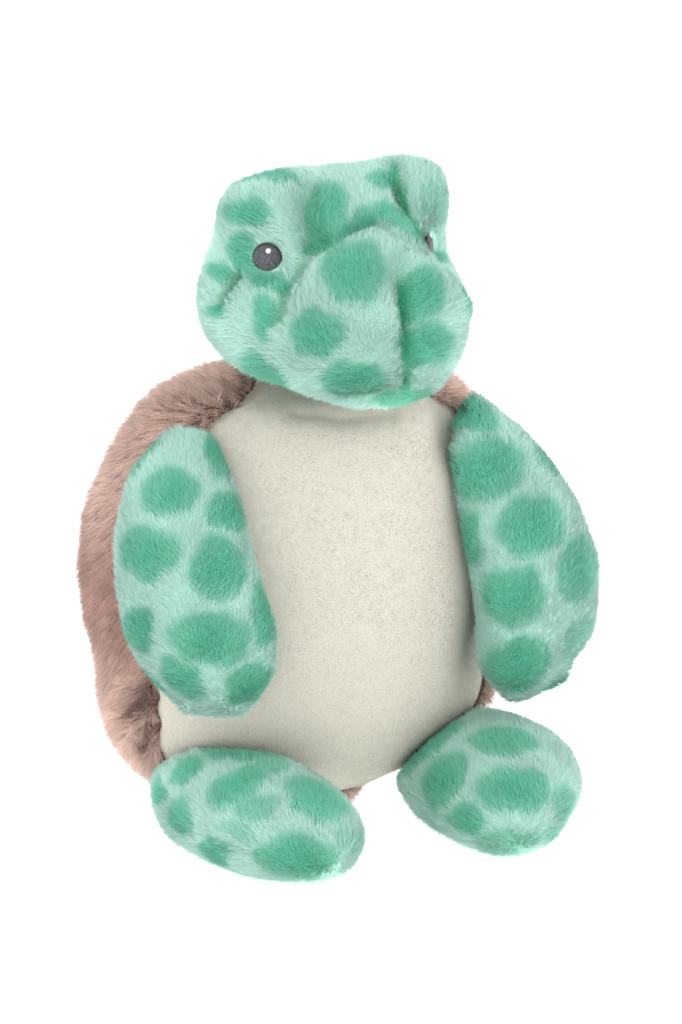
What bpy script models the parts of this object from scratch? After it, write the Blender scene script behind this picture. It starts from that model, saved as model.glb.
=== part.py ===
"""A seated plush turtle, 25 cm tall, built the way a stuffed toy is sewn.

Units are metres and +Z is up. The turtle faces -Y, so its left side is at +X. The origin is on the
floor, under the middle of the seat. Each stuffed form is a grid of rings and segments. Its cover is
cut from that grid in panels that meet at the seams, and its filling is the same grid, set in by the
thickness of the cover.
"""

import math

import bmesh
import bpy
import numpy as np
from mathutils import Matrix, Vector
from mathutils.bvhtree import BVHTree

# Cover and seams
COVER = 0.0022  # plush backing with its pressed pile
GAP = 0.0003  # between pieces that touch
SEAT_CUT = 0.0005  # depth of the flat that the toy's weight presses into it

# Body, an egg that leans forward to the neck
BODY_HEIGHT = 0.176
BODY_HALF_WIDTH = 0.078
BELLY_DEPTH = 0.060
BACK_DEPTH = 0.064
BODY_LEAN = 0.020
BODY_SEGMENTS = 24
BELLY_SEAM_STEP = 4  # segments from the middle of the belly to its side seam
BASE_RING = 3  # ring of the seam round the base
BEAN_RING = 5  # ring where the bean bag ends and the fibre begins
NECK_RING = 14  # ring of the neck opening

# Height, half width, belly depth, back depth and lean, each as a share of the size of that name
BODY_SHARES = (
    (0.000, 0.00, 0.00, 0.00, 0.00),
    (0.002, 0.19, 0.14, 0.20, 0.00),
    (0.036, 0.35, 0.26, 0.40, 0.00),
    (0.080, 0.51, 0.42, 0.57, 0.00),
    (0.127, 0.70, 0.66, 0.77, 0.00),
    (0.190, 0.84, 0.87, 0.87, 0.00),
    (0.275, 0.90, 1.00, 0.93, 0.00),
    (0.370, 0.91, 1.03, 0.96, 0.02),
    (0.480, 0.98, 1.03, 1.02, 0.07),
    (0.590, 1.00, 0.99, 1.05, 0.17),
    (0.690, 0.98, 0.93, 1.01, 0.30),
    (0.780, 0.92, 0.86, 0.93, 0.50),
    (0.860, 0.85, 0.77, 0.84, 0.68),
    (0.920, 0.76, 0.67, 0.75, 0.84),
    (0.965, 0.56, 0.52, 0.61, 0.95),
    (1.000, 0.00, 0.00, 0.00, 1.00),
)

# Head, with a broad muzzle and two eye bumps on the crown
HEAD_LENGTH = 0.111
HEAD_BACK = 0.010  # how far the back of the head lies behind the origin
HEAD_LIFT = 0.028  # of the head's widest level above the top of the body
HEAD_HALF_WIDTH = 0.049
HEAD_RISE = 0.0465
HEAD_DROP = 0.036
EYE_BUMP = 0.0125
HEAD_SEGMENTS = 24
MUZZLE_RING = 8
CHIN_STEP = 9  # segments from the crown to the seam between muzzle and chin
CROWN_POWER = 3.0
JAW_POWER = 2.4

# Place along the head, half width at the cheeks, half width at the eyes, rise and drop, as shares
HEAD_SHARES = (
    (0.000, 0.00, 0.00, 0.00, 0.00),
    (0.040, 0.38, 0.38, 0.50, 0.34),
    (0.110, 0.68, 0.62, 0.77, 0.60),
    (0.225, 0.89, 0.74, 0.94, 0.80),
    (0.360, 1.00, 0.87, 1.00, 0.88),
    (0.495, 1.00, 0.78, 0.98, 0.91),
    (0.575, 0.93, 0.59, 0.90, 0.92),
    (0.660, 0.85, 0.56, 0.76, 0.93),
    (0.740, 0.77, 0.50, 0.68, 0.94),
    (0.830, 0.68, 0.46, 0.63, 0.91),
    (0.900, 0.58, 0.42, 0.54, 0.83),
    (0.955, 0.45, 0.34, 0.41, 0.66),
    (0.990, 0.24, 0.20, 0.20, 0.36),
    (1.000, 0.00, 0.00, 0.00, 0.00),
)
EYE_LEVEL_SHARES = (0.10, 0.45)  # of the rise, where the section narrows from cheeks to eyes
BUMP_ANGLE = math.radians(48)
BUMP_SPREAD = math.radians(22)
BUMP_PLACE_SHARE = 0.45  # of the head's length
BUMP_REACH_SHARE = 0.13

# Neck, a ball of filling that the head is sewn over
NECK_DEPTH = 0.021  # of the ball's middle below the top of the body
NECK_RADIUS = 0.030
NECK_PLAY = 0.0008
NECK_SEAM_THICKNESS = 0.0010
NECK_SEAM_ANGLES = (math.radians(26), math.radians(50))
NECK_SEGMENTS = 24
NOD = math.radians(8)  # forward, and 6 degrees back
SHOULDER_RING = 9  # ring of the body down to which the head is kept clear

# Eyes, embroidered discs
EYE_RADIUS = 0.0056
EYE_THICKNESS = 0.0010
EYE_RISE = 0.0007  # off the skin, which bulges between the disc's corners
EYE_RING_SHARES = (0.5, 1)
EYE_OUT = 0.0305
EYE_FORWARD = 0.051
EYE_LIFT = 0.0206  # above the head's widest level
EYE_FACING = math.radians(49)
GLINT_RADIUS = 0.0013
GLINT_THICKNESS = 0.0006
GLINT_OFFSET = 0.0029
EYE_SEGMENTS = 16

# Arms, flippers that hang from the shoulder seams
SHOULDER_OUT = 0.050
SHOULDER_FORWARD = 0.028
SHOULDER_DEPTH = 0.014  # below the top of the body
ARM_DROP = 0.108
ARM_HALF_WIDTH = 0.0285
ARM_HALF_THICKNESS = 0.0195
LIMB_SEGMENTS = 16

# Half width and half thickness of an arm, as shares, from the shoulder to the tip
ARM_WIDTH_SHARES = (0, 0.44, 0.74, 0.89, 0.96, 1.00, 0.97, 0.76, 0)
ARM_THICKNESS_SHARES = (0, 0.52, 0.82, 0.97, 1.00, 1.00, 0.94, 0.74, 0)

# Outward, forward and down from the shoulder, as shares of the arm's drop
RIGHT_ARM_SHARES = (
    (0.000, 0.000, 0.000),
    (0.046, 0.065, 0.065),
    (0.110, 0.140, 0.176),
    (0.144, 0.200, 0.315),
    (0.144, 0.230, 0.463),
    (0.120, 0.260, 0.610),
    (0.074, 0.287, 0.760),
    (0.020, 0.315, 0.880),
    (-0.037, 0.340, 0.980),
)
LEFT_ARM_SHARES = (
    (0.000, 0.000, 0.000),
    (0.025, 0.060, 0.074),
    (0.055, 0.120, 0.176),
    (0.115, 0.170, 0.315),
    (0.185, 0.205, 0.463),
    (0.235, 0.220, 0.620),
    (0.235, 0.220, 0.790),
    (0.185, 0.215, 0.960),
    (0.135, 0.205, 1.095),
)
RIGHT_ARM_FACING = math.radians(38)
LEFT_ARM_FACING = math.radians(20)

# Legs, paddles that lie on the floor
RIGHT_HIP_OUT = 0.050
LEFT_HIP_OUT = 0.060
HIP_FORWARD = 0.004
LEG_LENGTH = 0.118
LEG_HALF_HEIGHT = 0.022
LEG_HALF_WIDTH = 0.029
RIGHT_PIVOT_OUT = 0.060
LEFT_PIVOT_OUT = 0.072
PIVOT_FORWARD = 0.010

# Outward and forward from the hip and half width, half height and lift off the floor, as shares
RIGHT_LEG_SHARES = (
    (0.000, 0.000, 0.00, 0.00, 1.05),
    (-0.008, 0.068, 0.48, 0.64, 0.42),
    (-0.025, 0.200, 0.80, 0.95, 0.06),
    (-0.050, 0.356, 0.92, 1.00, 0.00),
    (-0.076, 0.510, 0.97, 0.98, 0.00),
    (-0.093, 0.660, 0.96, 0.89, 0.08),
    (-0.110, 0.800, 0.81, 0.71, 0.22),
    (-0.127, 0.925, 0.50, 0.44, 0.38),
    (-0.140, 1.000, 0.00, 0.00, 0.72),
)
LEFT_LEG_SHARES = (
    (0.000, 0.020, 0.00, 0.00, 1.05),
    (0.017, 0.085, 0.50, 0.64, 0.42),
    (0.005, 0.210, 1.00, 0.95, 0.06),
    (-0.020, 0.356, 1.20, 1.00, 0.00),
    (-0.056, 0.510, 1.13, 0.98, 0.00),
    (-0.093, 0.644, 0.96, 0.90, 0.05),
    (-0.136, 0.763, 0.76, 0.74, 0.14),
    (-0.178, 0.856, 0.47, 0.46, 0.30),
    (-0.203, 0.915, 0.00, 0.00, 0.64),
)
SOLE_STEP = 5  # segments from the top of the leg to the seam of its sole

# Colours, as sRGB values from 0 to 1
MINT = (0.67, 0.86, 0.78)
BROWN = (0.73, 0.59, 0.54)
CREAM = (0.92, 0.90, 0.85)
FIBRE = (0.93, 0.93, 0.92)
BEANS = (0.80, 0.78, 0.74)
THREAD_GREY = (0.33, 0.33, 0.37)
THREAD_WHITE = (0.95, 0.95, 0.95)


def clear_scene():
    for obj in list(bpy.data.objects):
        bpy.data.objects.remove(obj, do_unlink=True)


def linear(value):
    """A colour value as light, from its sRGB value."""
    if value <= 0.04045:
        return value / 12.92
    return ((value + 0.055) / 1.055) ** 2.4


def material(name, colour, roughness):
    made = bpy.data.materials.new(name)
    made.use_nodes = True
    shader = made.node_tree.nodes["Principled BSDF"]
    shader.inputs["Base Color"].default_value = (*map(linear, colour), 1)
    shader.inputs["Roughness"].default_value = roughness
    shader.inputs["Metallic"].default_value = 0
    return made


def add_object(name, points, faces, finish):
    """One closed mesh as an object, with its faces outward."""
    mesh = bpy.data.meshes.new(name)
    mesh.from_pydata([tuple(point) for point in points], [], faces)
    work = bmesh.new()
    work.from_mesh(mesh)
    bmesh.ops.recalc_face_normals(work, faces=work.faces)
    bmesh.ops.triangulate(work, faces=work.faces)
    work.to_mesh(mesh)
    work.free()
    mesh.shade_smooth()
    mesh.set_sharp_from_angle(angle=math.radians(50))
    if finish:
        mesh.materials.append(finish)
    obj = bpy.data.objects.new(name, mesh)
    bpy.context.scene.collection.objects.link(obj)
    return obj


class Form:
    """A closed swelling shape: a grid of points by ring and segment, whose end rings are poles."""

    def __init__(self, rings):
        self.points = np.array(rings, float)
        self.last = len(rings) - 1
        self.segments = self.points.shape[1]
        along = np.gradient(self.points, axis=0)
        around = np.roll(self.points, -1, axis=1) - np.roll(self.points, 1, axis=1)
        normals = np.cross(around, along)
        middles = self.points.mean(axis=1, keepdims=True)
        if ((self.points - middles) * normals)[1:-1].sum() < 0:
            normals = -normals
        normals[0] = middles[0] - middles[1]
        normals[-1] = middles[-1] - middles[-2]
        self.normals = normals / np.linalg.norm(normals, axis=2, keepdims=True)

    def at(self, ring, segment, inset):
        """The point at a place on the grid, between its lines too, set in and flat at the floor."""
        low = min(int(ring), self.last - 1)
        left = math.floor(segment)
        across = ring - low
        round_share = segment - left
        first, second = left % self.segments, (left + 1) % self.segments
        found = []
        for values in (self.points, self.normals):
            near = values[low, first] * (1 - round_share) + values[low, second] * round_share
            far = values[low + 1, first] * (1 - round_share) + values[low + 1, second] * round_share
            found.append(near * (1 - across) + far * across)
        place = found[0] - found[1] * inset
        place[2] = max(place[2], inset)
        return place

    def shift(self, ring, segment, ring_way, segment_way):
        """The place half a seam gap away from a grid corner, on the side that the ways point to."""
        here = self.at(ring, segment, 0)
        if ring_way:
            length = np.linalg.norm(self.at(ring + ring_way, segment, 0) - here)
            ring = ring + ring_way * GAP / 2 / length
        if segment_way:
            length = np.linalg.norm(self.at(ring, segment + segment_way, 0) - here)
            segment = segment + segment_way * GAP / length
        return ring, segment


def solid(name, form, inset, finish, first=0, last=None):
    """The filling of a form, or a slice of it between two rings, closed by flat ends."""
    last = form.last if last is None else last
    points, rows = [], []
    for ring in range(first, last + 1):
        if ring in (0, form.last):
            rows.append([len(points)] * form.segments)
            points.append(form.at(ring, 0, inset))
            continue
        row = []
        for segment in range(form.segments):
            place = ring
            if ring == first:
                place = form.shift(ring, segment, 1, 0)[0]
            if ring == last:
                place = form.shift(ring, segment, -1, 0)[0]
            row.append(len(points))
            points.append(form.at(place, segment, inset))
        rows.append(row)
    faces = []
    for low, high in zip(rows, rows[1:]):
        for segment in range(form.segments):
            after = (segment + 1) % form.segments
            corners = (low[segment], low[after], high[after], high[segment])
            faces.append(tuple(dict.fromkeys(corners)))
    for row in (rows[0], rows[-1]):
        if row[0] != row[1]:
            faces.append(tuple(row))
    return add_object(name, points, faces, finish)


def panel(name, form, rings, segments, finish):
    """A piece of cover between two rings and two segments, or all the way round."""
    all_round = segments is None
    first_segment, last_segment = (0, form.segments - 1) if all_round else segments
    columns = range(first_segment, last_segment + 1)
    middle = (first_segment + last_segment) / 2
    sheets, points = [], []
    for inset in (0, COVER):
        rows = []
        for ring in range(rings[0], rings[1] + 1):
            inward = (ring == rings[0]) - (ring == rings[1])
            if ring in (0, form.last):
                place = ring if all_round else form.shift(ring, middle, inward, 0)[0]
                rows.append([len(points)] * len(columns))
                points.append(form.at(place, middle, inset))
                continue
            row = []
            for segment in columns:
                way = 0 if all_round else (segment == first_segment) - (segment == last_segment)
                row.append(len(points))
                points.append(form.at(*form.shift(ring, segment, inward, way), inset))
            rows.append(row)
        sheets.append(rows)
    faces = []
    outer, inner = sheets
    steps = len(columns) if all_round else len(columns) - 1

    def wall(corners):
        whole = tuple(dict.fromkeys(corners))
        if len(whole) > 2:
            faces.append(whole)

    for rows in sheets:
        for low, high in zip(rows, rows[1:]):
            for column in range(steps):
                after = (column + 1) % len(columns)
                wall((low[column], low[after], high[after], high[column]))
    for end in (0, -1):
        for column in range(steps):
            after = (column + 1) % len(columns)
            near, far = outer[end], inner[end]
            if near[column] != near[after]:
                wall((near[column], near[after], far[after], far[column]))
    if not all_round:
        for column in (0, -1):
            for row in range(len(outer) - 1):
                near = (outer[row][column], outer[row + 1][column])
                far = (inner[row + 1][column], inner[row][column])
                wall(near + far)
    return add_object(name, points, faces, finish)


def body_form():
    rings = []
    for height, width, belly, back, lean in BODY_SHARES:
        ring = []
        for segment in range(BODY_SEGMENTS):
            turn = math.tau * segment / BODY_SEGMENTS
            depth = BELLY_DEPTH * belly if math.cos(turn) > 0 else BACK_DEPTH * back
            ring.append(
                (
                    BODY_HALF_WIDTH * width * math.sin(turn),
                    -BODY_LEAN * lean - depth * math.cos(turn),
                    (BODY_HEIGHT + SEAT_CUT) * height - SEAT_CUT,
                )
            )
        rings.append(ring)
    return Form(rings)


def ease(value, start, end):
    """0 before start, 1 after end, and smooth between them."""
    share = min(max((value - start) / (end - start), 0), 1)
    return share * share * (3 - 2 * share)


def rounded(value, power):
    """A sine or cosine squared off, so that a section becomes a rounded box."""
    return math.copysign(abs(value) ** (2 / power), value)


def head_form():
    rings = []
    for place, cheek, eye, rise, drop in HEAD_SHARES:
        ring = []
        for segment in range(HEAD_SEGMENTS):
            turn = math.tau * segment / HEAD_SEGMENTS
            up = math.cos(turn) > 0
            power = CROWN_POWER if up else JAW_POWER
            height = rounded(math.cos(turn), power)
            narrow = ease(height * rise, *EYE_LEVEL_SHARES)
            width = HEAD_HALF_WIDTH * (cheek + (eye - cheek) * narrow)
            off_bump = min(abs(turn - BUMP_ANGLE), abs(math.tau - turn - BUMP_ANGLE)) / BUMP_SPREAD
            from_bump = (place - BUMP_PLACE_SHARE) / BUMP_REACH_SHARE
            bump = EYE_BUMP * math.exp(-off_bump * off_bump - from_bump * from_bump)
            reach = HEAD_RISE * rise if up else HEAD_DROP * drop
            ring.append(
                (
                    width * rounded(math.sin(turn), power) + bump * math.sin(turn),
                    HEAD_BACK - HEAD_LENGTH * place,
                    BODY_HEIGHT + HEAD_LIFT + reach * height + bump * math.cos(turn),
                )
            )
        rings.append(ring)
    return Form(rings)


def limb_form(middles, facing, half_widths, half_thicknesses):
    """A flattened limb along a line of middles, whose flat side looks the way that facing points."""
    middles = np.array(middles)
    ways = np.gradient(middles, axis=0)
    rings = []
    for middle, way, width, thickness in zip(middles, ways, half_widths, half_thicknesses):
        way = way / np.linalg.norm(way)
        out = facing - way * facing.dot(way)
        out = out / np.linalg.norm(out)
        side = np.cross(way, out)
        ring = []
        for segment in range(LIMB_SEGMENTS):
            turn = math.tau * segment / LIMB_SEGMENTS
            ring.append(middle + out * thickness * math.cos(turn) + side * width * math.sin(turn))
        rings.append(ring)
    return Form(rings)


def arm_form(side, shares, facing_angle):
    middles = []
    for outward, forward, down in shares:
        middles.append(
            (
                side * (SHOULDER_OUT + ARM_DROP * outward),
                -SHOULDER_FORWARD - ARM_DROP * forward,
                BODY_HEIGHT - SHOULDER_DEPTH - ARM_DROP * down,
            )
        )
    facing = np.array((side * math.sin(facing_angle), -math.cos(facing_angle), 0))
    widths = [ARM_HALF_WIDTH * share for share in ARM_WIDTH_SHARES]
    thicknesses = [ARM_HALF_THICKNESS * share for share in ARM_THICKNESS_SHARES]
    return limb_form(middles, facing, widths, thicknesses)


def leg_form(side, shares, hip_out):
    middles, widths, heights = [], [], []
    for outward, forward, width, height, lift in shares:
        half_height = LEG_HALF_HEIGHT * height
        middles.append(
            (
                side * (hip_out + LEG_LENGTH * outward),
                -HIP_FORWARD - LEG_LENGTH * forward,
                half_height - SEAT_CUT + LEG_HALF_HEIGHT * lift,
            )
        )
        widths.append(LEG_HALF_WIDTH * width)
        heights.append(half_height)
    return limb_form(middles, np.array((0.0, 0.0, 1.0)), widths, heights)


def guide(obj):
    """Marks an object as a cutter, which isn't part of the toy."""
    obj.hide_render = True
    obj.display_type = "WIRE"
    return obj


def cut(obj, cutter, operation="DIFFERENCE"):
    boolean = obj.modifiers.new(f"{operation.lower()} {cutter.name}", "BOOLEAN")
    boolean.operation = operation
    boolean.object = cutter


def body_cutter(form):
    """The body with a gap round it, which cuts the limbs where they lie against it."""
    return guide(solid("body_clearance", form, -GAP, None))


def neck_clearance(form, neck):
    """A turned cutter: the ball's socket, then the top of the body tilted up by the nod."""
    radius = NECK_RADIUS + NECK_SEAM_THICKNESS + 2 * NECK_PLAY
    tilted = []
    for ring in range(NECK_RING, SHOULDER_RING - 1, -1):
        spokes = form.points[ring] - np.array(neck)
        out = np.hypot(spokes[:, 0], spokes[:, 1]).max() + GAP
        up = spokes[:, 2].max() + GAP
        tilted.append(
            (
                out * math.cos(NOD) - up * math.sin(NOD),
                up * math.cos(NOD) + out * math.sin(NOD),
            )
        )
    steps = NECK_SEGMENTS // 4
    rim = math.acos(tilted[0][1] / radius)
    profile = [
        (radius * math.sin(rim * step / steps), radius * math.cos(rim * step / steps))
        for step in range(1, steps + 1)
    ]
    profile += tilted
    points = [neck + Vector((0, 0, radius))]
    for out, up in profile:
        for segment in range(NECK_SEGMENTS):
            turn = math.tau * segment / NECK_SEGMENTS
            points.append(neck + Vector((out * math.cos(turn), out * math.sin(turn), up)))
    faces = []
    for segment in range(NECK_SEGMENTS):
        after = (segment + 1) % NECK_SEGMENTS
        faces.append((0, 1 + segment, 1 + after))
        for row in range(len(profile) - 1):
            here, there = 1 + row * NECK_SEGMENTS, 1 + (row + 1) * NECK_SEGMENTS
            faces.append((here + segment, there + segment, there + after, here + after))
    faces.append(tuple(range(len(points) - NECK_SEGMENTS, len(points))))
    return guide(add_object("neck_clearance", points, faces, None))


def ball(name, radius, centre, finish=None):
    mesh = bpy.data.meshes.new(name)
    work = bmesh.new()
    bmesh.ops.create_uvsphere(
        work, u_segments=NECK_SEGMENTS, v_segments=NECK_SEGMENTS // 2, radius=radius
    )
    bmesh.ops.translate(work, verts=work.verts, vec=centre)
    work.to_mesh(mesh)
    work.free()
    if finish:
        mesh.materials.append(finish)
    obj = bpy.data.objects.new(name, mesh)
    bpy.context.scene.collection.objects.link(obj)
    return obj


def neck_seam(centre):
    """The doubled edge of fabric round the neck opening, a ring on the ball."""
    inner = NECK_RADIUS + NECK_PLAY
    outer = inner + NECK_SEAM_THICKNESS
    steps = 4
    profile = []
    for radius, order in ((outer, range(steps + 1)), (inner, range(steps, -1, -1))):
        for step in order:
            start, end = NECK_SEAM_ANGLES
            angle = start + (end - start) * step / steps
            profile.append((radius * math.sin(angle), radius * math.cos(angle)))
    points, faces = [], []
    for segment in range(NECK_SEGMENTS):
        turn = math.tau * segment / NECK_SEGMENTS
        for out, up in profile:
            points.append(centre + Vector((out * math.cos(turn), out * math.sin(turn), up)))
    size = len(profile)
    for segment in range(NECK_SEGMENTS):
        here = segment * size
        there = (segment + 1) % NECK_SEGMENTS * size
        for number in range(size):
            after = (number + 1) % size
            faces.append((here + number, here + after, there + after, there + number))
    return add_object("neck_seam_ring", points, faces, material("neck seam", MINT, 0.9))


def surface_of(form):
    """The form's skin, to find points on it."""
    points = form.points.reshape(-1, 3)
    faces = []
    for ring in range(form.last):
        for segment in range(form.segments):
            after = (segment + 1) % form.segments
            low, high = ring * form.segments, (ring + 1) * form.segments
            faces.append((low + segment, low + after, high + after, high + segment))
    return BVHTree.FromPolygons([Vector(point) for point in points], faces)


def stitched_disc(name, skin, centre, facing, radius, rise, thickness, finish):
    """A disc of stitches that follows the skin under it."""
    side = facing.cross(Vector((0, 0, 1))).normalized()
    up = side.cross(facing)
    points, rows = [], []
    for level in (rise, rise + thickness):
        reach = [Vector((0, 0, 0))]
        for share in EYE_RING_SHARES:
            for segment in range(EYE_SEGMENTS):
                turn = math.tau * segment / EYE_SEGMENTS
                reach.append((side * math.cos(turn) + up * math.sin(turn)) * radius * share)
        row = []
        for offset in reach:
            hit = skin.ray_cast(centre + offset + facing * HEAD_HALF_WIDTH, -facing)[0]
            row.append(len(points))
            points.append(hit + facing * level)
        rows.append(row)
    faces = []
    for row in rows:
        for segment in range(EYE_SEGMENTS):
            after = (segment + 1) % EYE_SEGMENTS
            near, far = row[1:], row[1 + EYE_SEGMENTS :]
            faces.append((row[0], near[segment], near[after]))
            faces.append((near[segment], far[segment], far[after], near[after]))
    low, high = rows[0][1 + EYE_SEGMENTS :], rows[1][1 + EYE_SEGMENTS :]
    for segment in range(EYE_SEGMENTS):
        after = (segment + 1) % EYE_SEGMENTS
        faces.append((low[segment], low[after], high[after], high[segment]))
    return add_object(name, points, faces, finish)


def empty(name, place):
    obj = bpy.data.objects.new(name, None)
    obj.location = place
    bpy.context.scene.collection.objects.link(obj)
    return obj


def hang(parent, children):
    """Parents the pieces to the joint's empty and leaves them where they are."""
    for child in children:
        child.parent = parent
        child.matrix_parent_inverse = Matrix.Translation(-parent.location)


def make_body(form, neck):
    step = BELLY_SEAM_STEP
    half_round = BODY_SEGMENTS // 2
    sides = (BASE_RING, NECK_RING)
    panel("belly_panel", form, sides, (-step, step), material("belly plush", CREAM, 0.9))
    panel(
        "shell_left_panel", form, sides, (step, half_round), material("shell left", BROWN, 0.95)
    )
    panel(
        "shell_right_panel",
        form,
        sides,
        (-half_round, -step),
        material("shell right", BROWN, 0.95),
    )
    panel("base_panel", form, (0, BASE_RING), None, material("base plush", BROWN, 0.95))
    inset = COVER + GAP
    solid("bean_bag", form, inset, material("bean bag", BEANS, 0.7), last=BEAN_RING)
    filling = solid(
        "body_stuffing", form, inset, material("body fibre", FIBRE, 0.95), first=BEAN_RING
    )
    dome = guide(ball("neck_ball", NECK_RADIUS, neck))
    cut(filling, dome, "UNION")


def make_head(form, cutter):
    half_round = HEAD_SEGMENTS // 2
    cranium = (0, MUZZLE_RING)
    snout = (MUZZLE_RING, form.last)
    chin = (CHIN_STEP, HEAD_SEGMENTS - CHIN_STEP)
    pieces = [
        panel("head_left_panel", form, cranium, (0, half_round), material("head left", MINT, 0.9)),
        panel(
            "head_right_panel", form, cranium, (-half_round, 0), material("head right", MINT, 0.9)
        ),
        panel("muzzle_left_panel", form, snout, (0, CHIN_STEP), material("muzzle left", MINT, 0.9)),
        panel(
            "muzzle_right_panel", form, snout, (-CHIN_STEP, 0), material("muzzle right", MINT, 0.9)
        ),
        panel("chin_panel", form, snout, chin, material("chin plush", MINT, 0.9)),
        solid("head_stuffing", form, COVER + GAP, material("head fibre", FIBRE, 0.95)),
    ]
    for piece in pieces:
        cut(piece, cutter)
    skin = surface_of(form)
    for name, side in (("left", 1), ("right", -1)):
        facing = Vector((side * math.sin(EYE_FACING), -math.cos(EYE_FACING), 0))
        centre = Vector((side * EYE_OUT, -EYE_FORWARD, BODY_HEIGHT + HEAD_LIFT + EYE_LIFT))
        pieces.append(
            stitched_disc(
                f"eye_{name}",
                skin,
                centre,
                facing,
                EYE_RADIUS,
                EYE_RISE,
                EYE_THICKNESS,
                material(f"eye thread {name}", THREAD_GREY, 0.6),
            )
        )
        pieces.append(
            stitched_disc(
                f"eye_glint_{name}",
                skin,
                centre + Vector((0, 0, GLINT_OFFSET)),
                facing,
                GLINT_RADIUS,
                EYE_RISE + EYE_THICKNESS + GAP,
                GLINT_THICKNESS,
                material(f"glint thread {name}", THREAD_WHITE, 0.6),
            )
        )
    return pieces


def make_arm(name, side, shares, facing, cutter):
    shoulder = Vector((side * SHOULDER_OUT, -SHOULDER_FORWARD, BODY_HEIGHT - SHOULDER_DEPTH))
    form = arm_form(side, shares, facing)
    edge = LIMB_SEGMENTS // 4
    whole = (0, form.last)
    pieces = [
        panel(
            f"{name}_arm_outer_panel",
            form,
            whole,
            (-edge, edge),
            material(f"{name} arm", MINT, 0.9),
        ),
        panel(
            f"{name}_arm_inner_panel",
            form,
            whole,
            (edge, LIMB_SEGMENTS - edge),
            material(f"{name} arm inside", MINT, 0.9),
        ),
        solid(
            f"{name}_arm_stuffing", form, COVER + GAP, material(f"{name} arm fibre", FIBRE, 0.95)
        ),
    ]
    for piece in pieces:
        cut(piece, cutter)
    hang(empty(f"{name}_shoulder", shoulder), pieces)


def make_leg(name, side, shares, hip_out, pivot_out, cutter):
    pivot = Vector((side * pivot_out, -PIVOT_FORWARD, 0))
    form = leg_form(side, shares, hip_out)
    whole = (0, form.last)
    pieces = [
        panel(
            f"{name}_leg_upper_panel",
            form,
            whole,
            (-SOLE_STEP, SOLE_STEP),
            material(f"{name} leg", MINT, 0.9),
        ),
        panel(
            f"{name}_leg_sole_panel",
            form,
            whole,
            (SOLE_STEP, LIMB_SEGMENTS - SOLE_STEP),
            material(f"{name} sole", MINT, 0.9),
        ),
        solid(
            f"{name}_leg_stuffing", form, COVER + GAP, material(f"{name} leg fibre", FIBRE, 0.95)
        ),
    ]
    for piece in pieces:
        cut(piece, cutter)
    hang(empty(f"{name}_hip", pivot), pieces)


clear_scene()
body = body_form()
neck = Vector((0, -BODY_LEAN, BODY_HEIGHT - NECK_DEPTH))
make_body(body, neck)
neck_joint = empty("neck_joint", neck)
hang(neck_joint, [neck_seam(neck)])
hang(neck_joint, make_head(head_form(), neck_clearance(body, neck)))
limb_cutter = body_cutter(body)
make_arm("right", -1, RIGHT_ARM_SHARES, RIGHT_ARM_FACING, limb_cutter)
make_arm("left", 1, LEFT_ARM_SHARES, LEFT_ARM_FACING, limb_cutter)
make_leg("right", -1, RIGHT_LEG_SHARES, RIGHT_HIP_OUT, RIGHT_PIVOT_OUT, limb_cutter)
make_leg("left", 1, LEFT_LEG_SHARES, LEFT_HIP_OUT, LEFT_PIVOT_OUT, limb_cutter)
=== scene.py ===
import math
import random

import bpy
import numpy as np
from mathutils import Matrix, Vector
from mathutils.bvhtree import BVHTree


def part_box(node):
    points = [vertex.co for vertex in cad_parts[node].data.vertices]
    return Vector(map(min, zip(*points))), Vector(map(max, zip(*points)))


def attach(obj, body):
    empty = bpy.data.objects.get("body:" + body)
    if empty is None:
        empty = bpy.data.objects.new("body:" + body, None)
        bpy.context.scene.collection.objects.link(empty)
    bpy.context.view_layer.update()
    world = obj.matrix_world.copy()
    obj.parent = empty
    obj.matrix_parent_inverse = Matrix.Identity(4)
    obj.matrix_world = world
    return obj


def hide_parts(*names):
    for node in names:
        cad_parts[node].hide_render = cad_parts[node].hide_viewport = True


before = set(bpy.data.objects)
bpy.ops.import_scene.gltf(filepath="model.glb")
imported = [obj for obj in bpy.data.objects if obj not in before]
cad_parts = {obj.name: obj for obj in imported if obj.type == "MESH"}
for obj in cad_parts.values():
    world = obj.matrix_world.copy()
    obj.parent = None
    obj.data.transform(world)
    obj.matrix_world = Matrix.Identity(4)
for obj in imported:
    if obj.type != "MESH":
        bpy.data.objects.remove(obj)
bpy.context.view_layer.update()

# The photographer's table
#
# A white sheet under soft light from all round. The camera stands far off at the turtle's front
# right, a little above it, with a long lens. The photograph is read in its own pixels.
photo_width, photo_height = 682, 1024  # pixels
photo_scale = 2750  # pixels to a metre where the turtle sits
camera_turn = math.radians(-25)
camera_rise = math.radians(13.3)
camera_distance = 3.5
aim = Vector((0.0086, -0.0263, 0.1204))
sensor = 36.0  # millimetres, along the photograph's height

to_right = Vector((math.cos(camera_turn), math.sin(camera_turn), 0))
to_camera = Vector(
    (
        math.sin(camera_turn) * math.cos(camera_rise),
        -math.cos(camera_turn) * math.cos(camera_rise),
        math.sin(camera_rise),
    )
)
to_top = to_camera.cross(to_right)

bpy.ops.object.camera_add(
    location=aim + to_camera * camera_distance,
    rotation=(math.radians(90) - camera_rise, 0, camera_turn),
)
camera = bpy.context.object
camera.name = "camera"
camera.data.sensor_width = sensor
camera.data.lens = sensor * camera_distance * photo_scale / photo_height
camera.data.clip_end = 50
bpy.context.scene.camera = camera


def linear(hex_colour):
    """The light of an sRGB colour written as six hex digits."""
    light = []
    for place in (0, 2, 4):
        value = int(hex_colour[place : place + 2], 16) / 255
        light.append(value / 12.92 if value <= 0.04045 else ((value + 0.055) / 1.055) ** 2.4)
    return (*light, 1)


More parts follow.
